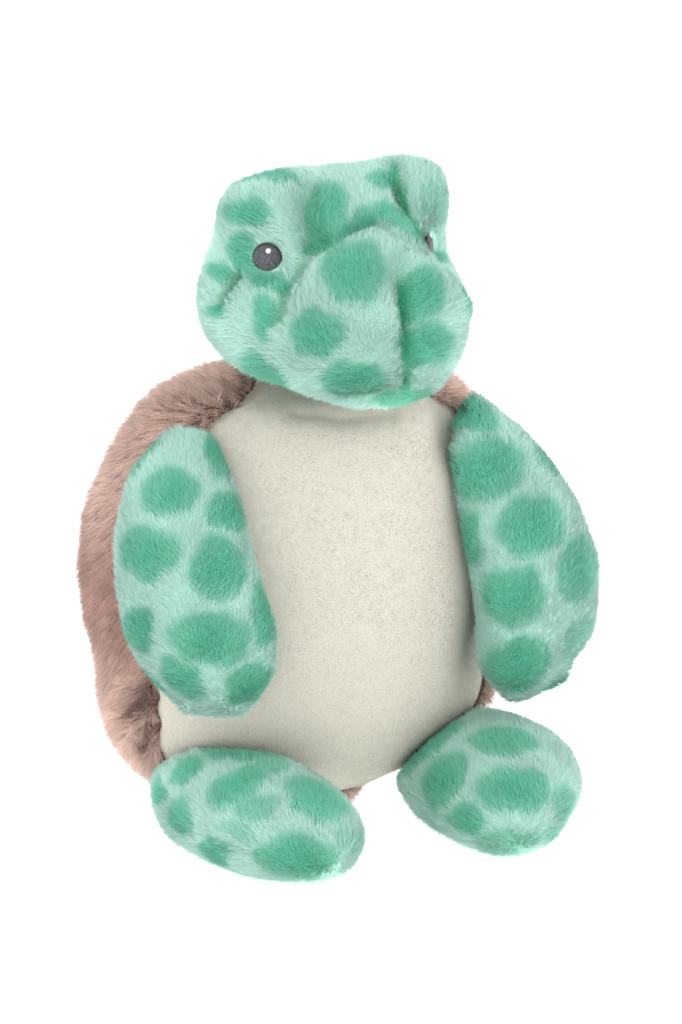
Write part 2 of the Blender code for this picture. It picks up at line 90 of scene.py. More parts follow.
def add_node(material, kind, settings=(), values=(), links=()):
    """One node, with its settings, the values of its inputs, and the sockets that feed them."""
    node = material.node_tree.nodes.new(kind)
    for name, value in dict(settings).items():
        setattr(node, name, value)
    for name, value in dict(values).items():
        node.inputs[name].default_value = value
    for name, source in dict(links).items():
        material.node_tree.links.new(source, node.inputs[name])
    return node


def new_material(name, values):
    """A material and its shader, with the values that are the same all over the surface."""
    material = bpy.data.materials.new(name)
    material.use_nodes = True
    shader = material.node_tree.nodes["Principled BSDF"]
    for socket, value in values.items():
        shader.inputs[socket].default_value = value
    return material, shader


# White acrylic, matt on top and lit from below, so that what stands on it has hardly a shadow.
white_card, card_shader = new_material(
    "lit_white_acrylic",
    {
        "Roughness": 0.9,
        "Specular IOR Level": 0.2,
        "Base Color": linear("F6F6F6"),
        "Emission Color": (1, 1, 1, 1),
        "Emission Strength": 0.7,
    },
)
grain_size = 1 / 900  # metres
card_grain = add_node(white_card, "ShaderNodeTexNoise", values={"Scale": 1 / grain_size})
card_bump = add_node(
    white_card, "ShaderNodeBump", values={"Strength": 0.02}, links={"Height": card_grain.outputs[0]}
)
white_card.node_tree.links.new(card_bump.outputs[0], card_shader.inputs["Normal"])

table_size = 9.0
table_drop = 0.0002  # below the seat, so that the two never share a plane
bpy.ops.mesh.primitive_plane_add(size=table_size, location=(0, 0, -table_drop))
table = bpy.context.object
table.name = "table"
table.data.materials.append(white_card)

daylight = 1.12
sky = bpy.data.worlds.new("studio")
sky.use_nodes = True
sky.node_tree.nodes["Background"].inputs["Color"].default_value = (1, 1, 1, 1)
sky.node_tree.nodes["Background"].inputs["Strength"].default_value = daylight
bpy.context.scene.world = sky
bpy.context.scene.view_settings.view_transform = "Standard"


# Square lamps that look at the turtle: how far each stands to the left, in front and up as the
# camera sees it, and its power in watts. Two of them light the edges from behind.
lamp_size = 1.4
towards_front = Vector((to_camera.x, to_camera.y, 0)).normalized()
for name, left, front, up, power in (
    ("key_lamp", 0.9, 1.0, 1.5, 5),
    ("fill_lamp", -1.2, 1.1, 0.7, 3),
    ("right_rim_lamp", -1.5, -0.6, 0.8, 7),
    ("left_rim_lamp", 1.3, -0.7, 1.3, 5),
):
    place = aim - to_right * left + towards_front * front + Vector((0, 0, up))
    bpy.ops.object.light_add(type="AREA", location=place)
    lamp = bpy.context.object
    lamp.name = name
    lamp.data.size = lamp_size
    lamp.data.energy = power
    lamp.rotation_euler = (place - aim).to_track_quat("Z", "Y").to_euler()

# The stuffed body
#
# A plush bag filled with fibre, with a bag of beans in the seat. Its panels are sewn edge to edge,
# so the filling swells the cloth between the seams and each seam lies in a shallow groove.
body_voxel = 0.0045
body_fill = 0.003  # how far the filling may swell the cloth
body_smoothing = 12  # rounds
body_groove = (0.0015, 0.5)  # depth of the groove along a seam, and how much painted shade darkens it
seam_width = 0.0035
filling_pressure = 4
filling_frames = 20  # of simulation, until the cloth has settled
cloth_stretch = 8  # how stiff the cloth is
body_panels = ("belly_panel", "shell_left_panel", "shell_right_panel", "base_panel")


def select_only(objects):
    bpy.ops.object.select_all(action="DESELECT")
    for obj in objects:
        obj.select_set(True)
    bpy.context.view_layer.objects.active = objects[0]


def copy_nodes(name, nodes):
    """The CAD pieces as one loose object, to start a detailed piece from."""
    copies = []
    for node in nodes:
        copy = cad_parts[node].copy()
        copy.data = copy.data.copy()
        copy.data.materials.clear()
        copy.parent = None
        copy.animation_data_clear()
        bpy.context.scene.collection.objects.link(copy)
        copies.append(copy)
    select_only(copies)
    bpy.ops.object.join()
    made = bpy.context.object
    made.name = made.data.name = name
    for key in list(made.keys()):
        del made[key]
    return made


def points_of(obj):
    points = np.empty(len(obj.data.vertices) * 3)
    obj.data.vertices.foreach_get("co", points)
    return points.reshape(-1, 3)


def set_points(obj, points):
    obj.data.vertices.foreach_set("co", np.ascontiguousarray(points, np.float64).ravel())
    obj.data.update()


def normals_of(obj):
    normals = np.empty(len(obj.data.vertices) * 3, np.float32)
    obj.data.vertex_normals.foreach_get("vector", normals)
    return normals.reshape(-1, 3).astype(float)


def tree_of(obj):
    return BVHTree.FromPolygons(
        [Vector(point) for point in points_of(obj)],
        [tuple(face.vertices) for face in obj.data.polygons],
    )


def panel_distances(points, panels):
    """How far each point lies from each panel of the CAD model."""
    found = np.empty((len(points), len(panels)))
    for column, panel in enumerate(panels):
        tree = tree_of(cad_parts[panel])
        found[:, column] = [tree.find_nearest(Vector(point))[3] for point in points]
    return found


def mean_of_neighbours(obj, values, rounds):
    """Evens out a value over the mesh."""
    edges = np.empty(len(obj.data.edges) * 2, int)
    obj.data.edges.foreach_get("vertices", edges)
    first, second = edges.reshape(-1, 2).T
    count = np.bincount(edges, minlength=len(values)).astype(float)
    for _ in range(rounds):
        total = np.bincount(first, values[second], len(values))
        total += np.bincount(second, values[first], len(values))
        values = (values + total) / (1 + count)
    return values


def swell(cover, pinned, most):
    """The filling pushes the cloth out between its seams, which hold still."""
    start = points_of(cover)
    set_points(cover, start - normals_of(cover) * most / 2)
    seams = cover.vertex_groups.new(name="seams")
    for number in np.flatnonzero(pinned > 0.05):
        seams.add([int(number)], float(pinned[number]), "REPLACE")
    cloth = cover.modifiers.new("filling", "CLOTH")
    cloth.settings.vertex_group_mass = seams.name
    cloth.settings.use_pressure = True
    cloth.settings.uniform_pressure_force = filling_pressure
    cloth.settings.effector_weights.gravity = 0
    cloth.settings.tension_stiffness = cloth_stretch
    cloth.settings.quality = 4
    cloth.point_cache.frame_start = 1
    cloth.point_cache.frame_end = filling_frames
    for moment in range(1, filling_frames + 1):
        bpy.context.scene.frame_set(moment)
    select_only([cover])
    bpy.ops.object.modifier_apply(modifier=cloth.name)
    bpy.context.scene.frame_set(1)
    move = points_of(cover) - start
    length = np.linalg.norm(move, axis=1, keepdims=True)
    set_points(cover, start + move * np.minimum(1, most / np.maximum(length, 1e-9)))
    cover.vertex_groups.clear()


def stuffed(name, panels, filling, voxel, fill, smoothing, groove, inset=0, further=None, levels=2):
    """A closed stuffed form over the CAD panels, grooved at their seams, fine enough for creases."""
    cover = copy_nodes(name, panels + filling)
    remesh = cover.modifiers.new("one skin", "REMESH")
    remesh.mode = "VOXEL"
    remesh.voxel_size = voxel
    bpy.ops.object.modifier_apply(modifier=remesh.name)
    smooth = cover.modifiers.new("no facets", "SMOOTH")
    smooth.factor = 0.5
    smooth.iterations = smoothing
    bpy.ops.object.modifier_apply(modifier=smooth.name)
    # Smoothing draws a round form in, so it goes back out by what it lost.
    skin = [tree_of(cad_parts[panel]) for panel in panels]
    points, normals = points_of(cover), normals_of(cover)
    lost = np.empty(len(points))
    for number, (point, normal) in enumerate(zip(points, normals)):
        place = min((tree.find_nearest(Vector(point)) for tree in skin), key=lambda hit: hit[3])[0]
        lost[number] = (place - Vector(point)).dot(Vector(normal))
    most_in, most_out, evening = 0.004, 0.006, 12
    lost = mean_of_neighbours(cover, np.clip(lost, -most_in, most_out), evening)
    set_points(cover, points + normals * lost[:, None])
    apart = np.sort(panel_distances(points_of(cover), panels), axis=1)
    swell(cover, np.exp(-((apart[:, 1] / seam_width) ** 2)), fill)
    finer = cover.modifiers.new("finer", "SUBSURF")
    finer.levels = finer.render_levels = levels
    select_only([cover])
    bpy.ops.object.modifier_apply(modifier=finer.name)
    distances = panel_distances(points_of(cover), panels)
    if further:
        distances[:, 0] -= further(points_of(cover))
    apart = np.sort(distances, axis=1)[:, 1] - np.sort(distances, axis=1)[:, 0]
    depth, dark = groove
    seam = np.exp(-((apart / seam_width) ** 2))
    set_points(cover, points_of(cover) - normals_of(cover) * (depth * seam)[:, None])
    sunk = normals_of(cover) * inset
    sunk[:, 2] = np.maximum(sunk[:, 2], 0)
    set_points(cover, points_of(cover) - sunk)
    # Painted shade along the seam grooves, which also shortens the pile there.
    keep_value(cover, "crease_shade", seam * dark)
    nearest = distances.argmin(axis=1)
    keep_value(cover, "panel", nearest.astype(float))
    select_only([cover])
    bpy.ops.object.shade_smooth()
    return cover


def keep_value(obj, name, values):
    """A value at each point of the mesh, which materials and the pile read."""
    attribute = obj.data.attributes.get(name) or obj.data.attributes.new(name, "FLOAT", "POINT")
    attribute.data.foreach_set("value", np.asarray(values, np.float32))


def value_of(obj, name):
    values = np.empty(len(obj.data.vertices), np.float32)
    obj.data.attributes[name].data.foreach_get("value", values)
    return values.astype(float)


def stand_on_table(obj):
    above_table = 0.0004
    points = points_of(obj)
    points[:, 2] = np.maximum(points[:, 2], above_table)
    set_points(obj, points)


def paint_panels(cover, finishes):
    """Gives each face the finish of the panel that it belongs to."""
    panel = value_of(cover, "panel")
    for finish in finishes:
        cover.data.materials.append(finish)
    numbers = [
        int(round(np.median([panel[corner] for corner in face.vertices])))
        for face in cover.data.polygons
    ]
    cover.data.polygons.foreach_set("material_index", numbers)


def plush(name, pale, dark, crease_shade_colour, spread, root_shade):
    """Plush: dyed fibres on a knitted back, with painted shade at their roots and in creases."""
    material, shader = new_material(
        name,
        {
            "Roughness": 0.85,
            "Specular IOR Level": 0.2,
            "Sheen Weight": 0.25,
            "Sheen Roughness": 0.5,
        },
    )
    dyed = dye_with_crease_shade(material, pale, dark, crease_shade_colour)
    # spread is how far single fibres differ in brightness
    shades = []
    for attribute, first, last in (("along", root_shade, 1.0), ("tone", 1 - spread, 1 + spread)):
        value = add_node(material, "ShaderNodeAttribute", {"attribute_name": attribute})
        shades.append(
            add_node(
                material,
                "ShaderNodeMapRange",
                values={"To Min": first, "To Max": last},
                links={"Value": value.outputs["Fac"]},
            )
        )
    light = add_node(
        material,
        "ShaderNodeMath",
        {"operation": "MULTIPLY"},
        links={0: shades[0].outputs[0], 1: shades[1].outputs[0]},
    )
    colour = add_node(
        material,
        "ShaderNodeVectorMath",
        {"operation": "SCALE"},
        links={"Vector": dyed.outputs[2], "Scale": light.outputs[0]},
    )
    material.node_tree.links.new(colour.outputs[0], shader.inputs["Base Color"])
    return material


def dye_with_crease_shade(material, pale, dark, crease_shade_colour):
    """The colour at each point: pale, a spot's second colour, and painted shade in a crease."""
    dyed = None
    for attribute, first, second in (("spot", pale, dark), ("crease_shade", None, crease_shade_colour)):
        share = add_node(material, "ShaderNodeAttribute", {"attribute_name": attribute})
        start = {6: linear(first)} if first else {}
        dyed = add_node(
            material,
            "ShaderNodeMix",
            {"data_type": "RGBA"},
            {7: linear(second)} | start,
            {0: share.outputs["Fac"]} | ({6: dyed.outputs[2]} if dyed else {}),
        )
    return dyed


def waves(points, size, seed):
    """Smooth random hills about as wide as size: their height from -1 to 1, and their slope."""
    rng = np.random.default_rng(seed)
    count = 14
    ways = rng.normal(size=(count, 3))
    ways *= math.tau / size / np.linalg.norm(ways, axis=1, keepdims=True)
    ways *= rng.uniform(0.6, 1.3, (count, 1))
    start = rng.uniform(0, math.tau, count)
    phase = points @ ways.T + start
    height = np.sin(phase).sum(axis=1) / math.sqrt(count)
    slope = np.cos(phase) @ ways / math.sqrt(count)
    return np.clip(height / 1.6, -1, 1), slope * size / math.tau


def off_line(points, line):
    """The way to each point from the nearest place on a line of straight stretches."""
    best = np.full((len(points), 3), 1.0)
    for start, end in zip(line, line[1:]):
        start, along = np.array(start), np.array(end - start)
        share = np.clip((points - start) @ along / (along @ along), 0, 1)
        off = points - start - share[:, None] * along
        nearer = np.linalg.norm(off, axis=1) < np.linalg.norm(best, axis=1)
        best[nearer] = off[nearer]
    return best


creases = {}  # of each cover: the line, width and darkness of each


slit_share = 1 / 2.2  # of a crease's width, which the slit in its floor takes


def crease_shade_at(cover, points):
    """How much painted shade the cover's creases give each point: a wide valley, a darker slit."""
    deepest = np.zeros(len(points))
    for line, width, dark in creases.get(cover.name, ()):
        away = np.linalg.norm(off_line(points, line), axis=1) / width
        deep = dark * (0.4 * np.exp(-(away**2)) + 0.6 * np.exp(-((away / slit_share) ** 2)))
        deepest = np.maximum(deepest, deep)
    return deepest


def parted(points, way, lines, reach=0.0036, strength=2.5):
    """Turns the combed way off each line, where the pile parts."""
    for line in lines:
        off = off_line(points, line)
        far = np.linalg.norm(off, axis=1, keepdims=True)
        way = way + off / np.maximum(far, 1e-6) * strength * np.exp(-((far / reach) ** 2))
    return way


def grow_pile(name, cover, panels, strands, finish, seed, comb, cut, spots=None):
    """The pile of some panels: strands that lean the way they were combed and gather in tufts."""
    swirl_size, patch_size, root_depth, low_nap = 0.022, 0.015, 0.0005, 0.007
    rng = np.random.default_rng(seed)
    mesh = cover.data
    mesh.calc_loop_triangles()
    corners = np.empty(len(mesh.loop_triangles) * 3, np.int32)
    mesh.loop_triangles.foreach_get("vertices", corners)
    corners = corners.reshape(-1, 3)
    panel = np.round(np.median(value_of(cover, "panel")[corners], axis=1))
    corners = corners[np.isin(panel, panels)]
    points, normals, crease_shade = points_of(cover), normals_of(cover), value_of(cover, "crease_shade")
    a, b, c = (points[corners[:, corner]] for corner in range(3))
    area = np.linalg.norm(np.cross(b - a, c - a), axis=1)
    thickness = cut["thickness"]
    chosen = rng.choice(len(corners), strands, p=area / area.sum())
    share = rng.random((strands, 2))
    share[share.sum(axis=1) > 1] = 1 - share[share.sum(axis=1) > 1]
    weights = np.column_stack((1 - share.sum(axis=1), share))
    corners = corners[chosen]
    root = (points[corners] * weights[..., None]).sum(axis=1)
    out = (normals[corners] * weights[..., None]).sum(axis=1)
    out /= np.linalg.norm(out, axis=1, keepdims=True)
    crease = (crease_shade[corners] * weights).sum(axis=1)

    if "bare" in mesh.attributes:
        bare = (value_of(cover, "bare")[corners] * weights).sum(axis=1)
        root, out, crease = root[bare < 0.5], out[bare < 0.5], crease[bare < 0.5]
        strands = len(root)

    # The comb leaves swirls, and tufts whose tips are drawn together.
    way = comb(root)
    way = way - out * (way * out).sum(axis=1, keepdims=True)
    way /= np.maximum(np.linalg.norm(way, axis=1, keepdims=True), 1e-6)
    turn = waves(root, swirl_size, seed + 1)[0] * cut["swirl"] + rng.normal(0, 0.3, strands)
    way = way * np.cos(turn)[:, None] + np.cross(out, way) * np.sin(turn)[:, None]
    hill, slope = waves(root, cut["tuft"], seed + 2)
    slope -= out * (slope * out).sum(axis=1, keepdims=True)
    patch = waves(root, patch_size, seed + 3)[0]
    lean = cut["lean"] + 0.12 * patch + 0.16 * rng.normal(size=strands)
    lean = lean.clip(0.2, 1.4)
    high = cut["length"] * (0.75 + 0.35 * rng.random(strands)) * (1 - 0.8 * crease.clip(0, 1))
    high *= np.clip(0.25 + root[:, 2] / low_nap, 0.25, 1) * (1 + 0.10 * hill)
    upright, sideways = out * np.cos(lean)[:, None], way * np.sin(lean)[:, None]
    tip = root + high[:, None] * (upright + sideways) + slope * cut["tuft"] * cut["pull"]
    root = root - out * root_depth

    # Each strand is a spike of three faces, one of them outward.
    along = tip - root
    along /= np.linalg.norm(along, axis=1, keepdims=True)
    side = np.cross(along, out)
    side /= np.maximum(np.linalg.norm(side, axis=1, keepdims=True), 1e-9)
    across = np.cross(along, side)
    corners, spread = np.empty((strands, 4, 3)), np.empty((strands, 3, 3))
    for corner in range(3):
        turn = math.tau * corner / 3 - math.tau / 12
        spread[:, corner] = side * math.cos(turn) + across * math.sin(turn)
        corners[:, corner] = root + spread[:, corner] * thickness / 2
    corners[:, 3] = tip
    corners[..., 2] = np.maximum(corners[..., 2], 0.0003)

    made = bpy.data.meshes.new(name)
    made.vertices.add(strands * 4)
    made.vertices.foreach_set("co", corners.astype(np.float32).ravel())
    start = np.arange(strands)[:, None] * 4
    made.loops.add(strands * 9)
    faces = start + (0, 1, 3, 1, 2, 3, 2, 0, 3)
    made.loops.foreach_set("vertex_index", faces.ravel().astype(np.int32))
    made.polygons.add(strands * 3)
    made.polygons.foreach_set("loop_start", np.arange(0, strands * 9, 3).astype(np.int32))
    made.update(calc_edges=True)
    made.shade_smooth()
    # Light goes through fine fibres, so each is shaded partly as the skin that it lies on.
    soft = out - slope * cut["relief"] + rng.normal(0, cut["scatter"], (strands, 3))
    after = np.roll(spread, -1, axis=1)
    faced = np.stack((spread, after, (spread + after) / 2), axis=2).reshape(-1, 9, 3)
    faced = soft[:, None, :] + faced * cut["roundness"]
    faced /= np.linalg.norm(faced, axis=2, keepdims=True)
    made.normals_split_custom_set(faced.reshape(-1, 3))
    pile = bpy.data.objects.new(name, made)
    bpy.context.scene.collection.objects.link(pile)
    keep_value(pile, "along", np.tile((0.0, 0.0, 0.0, 1.0), strands))
    # Fibres differ in brightness at random and in patches; painted shade darkens them between tufts.
    tone = 0.5 + 0.08 * rng.normal(size=strands) + 0.15 * patch + cut["tuft_shade"] * hill
    tone[rng.random(strands) < 0.03] = 0
    keep_value(pile, "tone", np.repeat(tone, 4))
    # Painted shade in creases: a strand is darker at a tip that ends in a crease.
    shaded = np.repeat(crease[:, None], 4, axis=1)
    shaded[:, 3] = np.maximum(crease_shade_at(cover, tip), crease * 0.3)
    keep_value(pile, "crease_shade", shaded.ravel())
    if spots is not None:
        keep_value(pile, "spot", np.repeat(spots(root), 4))
    # In the bake map each strand has its own cell of a square grid.
    row = math.ceil(math.sqrt(strands))
    cell = np.column_stack((np.arange(strands) % row, np.arange(strands) // row))[:, None, :]
    place = [
        (0.05 + 0.3 * face + across, up)
        for face in range(3)
        for across, up in ((0.0, 0.1), (0.26, 0.1), (0.13, 0.9))
    ]
    layer = made.uv_layers.new(name="OFBake")
    layer.uv.foreach_set("vector", ((cell + np.array(place)) / row).astype(np.float32).ravel())
    made.materials.append(finish)
    return pile


def belly_reach(points):
    """The belly's cloth reaches further round the sides and under the seat than it does above."""
    top, fade, middle, side, half_belly = 0.085, 0.025, 0.003, 0.007, 0.05
    low = np.clip((top - points[:, 2]) / fade, 0, 1)
    return low * (middle + side * np.clip(np.abs(points[:, 0]) / half_belly, 0, 1))


body_cover = stuffed(
    "body_cover",
    body_panels,
    ("body_stuffing", "bean_bag"),
    body_voxel,
    body_fill,
    body_smoothing,
    body_groove,
    further=belly_reach,
)
# The seat draws in under the belly.
seat_share, seat_height = 0.86, 0.022
points = points_of(body_cover)
points[:, :2] *= seat_share + (1 - seat_share) * np.clip(points[:, 2:] / seat_height, 0, 1) ** 2
set_points(body_cover, points)
stand_on_table(body_cover)


def on_photo(tree, place):
    """The point of a surface that shows at a pixel of the photograph."""
    across = (place[0] - photo_width / 2) / photo_scale / camera_distance
    up = (photo_height / 2 - place[1]) / photo_scale / camera_distance
    way = (to_right * across + to_top * up - to_camera).normalized()
    return tree.ray_cast(camera.location, way)[0]


def line_on(tree, pixels):
    return [point for point in (on_photo(tree, place) for place in pixels) if point]


def mirrored(tree, line):
    return [tree.find_nearest(Vector((-point.x, point.y, point.z)))[0] for point in line]


def draw_in(cover, line, width, depth, dark=1.0):
    """A stitched crease along a line: the cloth goes in, its pile shortens and painted shade darkens
    it.

    It is a wide valley with a narrow slit in its floor. With no dark it is a soft hollow, or with a
    negative depth a soft swelling.
    """
    away = np.linalg.norm(off_line(points_of(cover), line), axis=1) / width
    valley, slit = np.exp(-(away**2)), np.exp(-((away / slit_share) ** 2))
    move = depth * (0.65 * valley + 0.35 * slit) if dark else depth * valley
    set_points(cover, points_of(cover) - normals_of(cover) * move[:, None])
    if dark:
        creases.setdefault(cover.name, []).append((line, width, dark))
        keep_value(cover, "crease_shade", np.maximum(value_of(cover, "crease_shade"), dark * valley))


# The shell is pleated where its side seam turns under, which leaves two folds darkened by painted
# shade. Each line is read off the photograph, with its width, its depth, which is less than nothing
# where the cloth stands out, and how much painted shade darkens it.
body_tree = tree_of(body_cover)
for pixels, width, depth, dark in (
    (((149, 694), (139, 704), (127, 716)), 0.0040, 0.0075, 1),
    (((151, 722), (145, 735), (141, 750)), 0.0036, 0.0070, 1),
    (((138, 716), (134, 728)), 0.0050, -0.0025, 0),
    (((143, 640), (140, 676)), 0.0080, -0.0015, 0),
    (((296, 413), (345, 418), (392, 414)), 0.0044, 0.0013, 0.2),  # under the chin: a painted shadow
    (((448, 408), (452, 436)), 0.0100, 0.0040, 0),  # left shoulder
):
    draw_in(body_cover, line_on(body_tree, pixels), width, depth, dark)
# The shell's edge stands up beside the head.
collar = line_on(body_tree, ((196, 366), (212, 356)))
collar_width, collar_up, collar_left = 0.013, 0.0085, 0.0035
away = np.linalg.norm(off_line(points_of(body_cover), collar), axis=1) / collar_width
rise = np.array(to_top * collar_up - to_right * collar_left)
set_points(body_cover, points_of(body_cover) + np.exp(-(away**2))[:, None] * rise)
# More filling at the left hip than at the right one.
hip, hip_width, hip_swell = Vector((0.066, -0.014, 0.050)), 0.015, 0.0075
draw_in(body_cover, [hip, hip + Vector((0, 0.002, 0))], hip_width, -hip_swell, 0)
stand_on_table(body_cover)

# Cream plush with a short pile, and taupe plush with a long one. The cream backing cloth is dyed as
# its pile, so only its knit shows where the pile parts; the taupe backing is darker, as painted shade
# at the pile's roots. The second colour of each plush is painted: light low on the belly, shade at
# the middle of the shell. The third is painted shade in creases and seams.
cream_plush = plush("cream_plush", "CCC7BB", "ECE5D8", "A89D88", 0.02, 1.0)
taupe_plush = plush("taupe_plush", "F3D1C3", "AB8378", "5A3B33", 0.36, 0.74)

# Length and thickness of the strands, how far they lean over and stray from the comb, how far apart
# the tufts are and how far their tips are drawn, how uneven the nap looks, and how much painted
# shade darkens the pile between the tufts.
belly_cut = {
    "length": 0.0015,
    "thickness": 0.00024,
    "lean": 1.31,
    "swirl": 0.5,
    "tuft": 0.004,
    "pull": 0.06,
    "relief": 0.02,
    "scatter": 0.01,
    "roundness": 0.10,
    "tuft_shade": 0.0,
}
shell_cut = {
    "length": 0.0080,
    "thickness": 0.00042,
    "lean": 0.85,
    "swirl": 0.5,
    "tuft": 0.0042,
    "pull": 0.9,
    "relief": 0.30,
    "scatter": 0.12,
    "roundness": 0.9,
    "tuft_shade": 0.30,
}


def backing(name, pale, dark, crease_shade_colour):
    """The knitted back of plush: loops 0.6 mm apart, in the colour of the pile's shaded roots."""
    material, shader = new_material(name, {"Roughness": 0.95, "Specular IOR Level": 0.2})
    place = add_node(material, "ShaderNodeTexCoord")
    knit = add_node(
        material,
        "ShaderNodeTexVoronoi",
        values={"Scale": 1 / 0.0006},
        links={"Vector": place.outputs["Object"]},
    )
    dyed = dye_with_crease_shade(material, pale, dark, crease_shade_colour)
    shade = add_node(
        material,
        "ShaderNodeMapRange",
        values={"To Min": 1.0, "To Max": 0.9},
        links={"Value": knit.outputs["Distance"]},
    )
    mixed = add_node(
        material,
        "ShaderNodeVectorMath",
        {"operation": "SCALE"},
        links={"Vector": dyed.outputs[2], "Scale": shade.outputs[0]},
    )
    bump = add_node(
        material,
        "ShaderNodeBump",
        values={"Strength": 0.4, "Distance": 0.0002},
        links={"Height": knit.outputs["Distance"]},
    )
    material.node_tree.links.new(mixed.outputs[0], shader.inputs["Base Color"])
    material.node_tree.links.new(bump.outputs[0], shader.inputs["Normal"])
    return material


cream_back = backing("cream_backing", "CCC7BB", "ECE5D8", "988D78")
taupe_back = backing("taupe_backing", "8A685C", "8A685C", "3E2A24")
paint_panels(body_cover, (cream_back, taupe_back, taupe_back, taupe_back))
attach(body_cover, "torso")
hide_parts("body_stuffing", "bean_bag")


def downward(points):
    """Combed down."""
    way = np.zeros_like(points)
    way[:, 2] = -1
    return way


def painted_light_below(points):
    """Painted light: the belly is paler low down."""
    top, fade = 0.09, 0.04
    return np.clip((top - points[:, 2]) / fade, 0, 1)


belly_pile = grow_pile(
    "belly_pile", body_cover, (0,), 60000, cream_plush, 11, downward, belly_cut, painted_light_below
)
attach(belly_pile, "torso")
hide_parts("belly_panel")


def outward(points):
    """Combed down and away from the middle of the back, and parted at the pleats."""
    way = points * (1, 1, 0)
    way /= np.maximum(np.linalg.norm(way, axis=1, keepdims=True), 1e-6)
    way[:, 2] = -1.2
    pleats = [line for line, _, _ in creases["body_cover"]]
    return parted(points, way, pleats, reach=0.0075, strength=3)


def shaded_mid_band(points):
    """Painted shade: the shell is darker in a band at mid height, beside the arms."""
    level, reach, dye = 0.092, 0.034, 0.8
    return dye * np.exp(-(((points[:, 2] - level) / reach) ** 2))


strands_a_panel = 58000
for number, side in ((1, "left"), (2, "right")):
    pile = grow_pile(
        f"shell_{side}_pile",
        body_cover,
        (number,),
        strands_a_panel,
        taupe_plush,
        20 + number,
        outward,
        shell_cut,
        shaded_mid_band,
    )
    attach(pile, "torso")
    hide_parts(f"shell_{side}_panel")

base_pile = grow_pile(
    "base_pile", body_cover, (3,), 9000, taupe_plush, 31, outward, shell_cut | {"length": 0.005}
)
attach(base_pile, "torso")
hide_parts("base_panel")

# The head
#
# Two cheek panels, two muzzle panels and a chin, sewn over fibre. Long stitches through the filling
# pull in the face: round each eye bump, over the muzzle, at the cheek and along the mouth.
head_panels = (
    "head_left_panel",
    "head_right_panel",
    "muzzle_left_panel",
    "muzzle_right_panel",
    "chin_panel",
)
head_voxel = 0.0038
head_fill = 0.0025
head_smoothing = 8
# Depth of the seam groove, and how much painted shade darkens it.
head_groove = (0.0004, 0.06)

head_cover = stuffed(
    "head_cover",
    head_panels,
    ("head_stuffing",),
    head_voxel,
    head_fill,
    head_smoothing,
    head_groove,
)

brow_pixels = (
    (318, 256), (335, 248), (354, 236), (366, 229), (376, 225),
    (388, 233), (408, 246), (430, 261), (445, 270),
)
near_bump_pixels = ((304, 182), (305, 205), (308, 228), (314, 244))
far_bump_pixels = ((390, 172), (398, 192), (406, 207), (417, 228), (420, 237), (434, 253))
muzzle_seam_pixels = ((312, 257), (295, 278), (283, 293), (279, 318))
dimple_pixels = ((237, 278), (223, 300))
nose_pixels = ((397, 262), (403, 305), (406, 331), (407, 387))
mouth_pixels = ((352, 399), (388, 393), (433, 391))
ridge_pixels = ((322, 272), (345, 260), (375, 244), (400, 260), (430, 278), (458, 308))

head_tree = tree_of(head_cover)
# Each line: its pixels, width, depth (less than nothing where the plush swells), and how much painted
# shade darkens it.
for pixels, width, depth, dark in (
    (((256, 205), (272, 205)), 0.012, -0.0015, 0),  # near bump
    (((240, 182), (266, 174)), 0.008, -0.0015, 0),
    (((212, 262), (208, 300)), 0.012, -0.0014, 0),  # near cheek
    (((402, 170), (416, 172), (428, 178), (432, 200), (432, 216)), 0.012, -0.0040, 0),  # far bump
    (((458, 258), (462, 276)), 0.008, -0.0022, 0),  # far cheek
    (ridge_pixels, 0.0060, -0.0034, 0),
    (brow_pixels, 0.0042, 0.0044, 0.4),
    (near_bump_pixels, 0.0042, 0.0038, 0.4),
    (far_bump_pixels, 0.0034, 0.0065, 1),
    (((312, 240), (318, 246)), 0.0050, 0.0040, 0.9),  # hollow where they meet
    (muzzle_seam_pixels, 0.0028, 0.0022, 0.7),
    (dimple_pixels, 0.0026, 0.0048, 1),
    (nose_pixels, 0.0030, 0.0036, 1),
    (mouth_pixels, 0.0026, 0.0030, 0.6),
):
    line = line_on(head_tree, pixels)
    draw_in(head_cover, line, width, depth, dark)
    if pixels in (muzzle_seam_pixels, dimple_pixels):
        draw_in(head_cover, mirrored(head_tree, line), width, depth, dark)

# The embroidery pulls the plush in round each eye, and no pile grows through it.
socket_width, socket_depth = 0.0095, 0.0020
eye_radius = 0.0055
eye_turns = {"left": math.radians(60), "right": math.radians(49)}
eye_shift = Vector((-0.0016, 0, -0.0019))  # to where the photograph shows the right eye
eye_places, eye_facings = [], []
for side in eye_turns:
    low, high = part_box(f"eye_{side}")
    middle = (Vector(low) + Vector(high)) / 2
    draw_in(head_cover, [middle, middle + Vector((0, 0, 0.001))], socket_width, socket_depth, 0)
bare = np.zeros(len(head_cover.data.vertices))
eye_tree = tree_of(head_cover)
for side, sign in (("left", 1), ("right", -1)):
    low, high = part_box(f"eye_{side}")
    middle = (Vector(low) + Vector(high)) / 2 + Vector((-sign * eye_shift.x, 0, eye_shift.z))
    turn = eye_turns[side]
    facing = Vector((sign * math.sin(turn), -math.cos(turn), 0.05)).normalized()
    eye = eye_tree.ray_cast(middle + facing * 0.02, -facing)[0]
    eye_places.append(eye)
    eye_facings.append(facing)
    far = np.linalg.norm(points_of(head_cover) - np.array(eye), axis=1)
    bare = np.maximum(bare, far < eye_radius * 0.85)
keep_value(head_cover, "bare", bare)


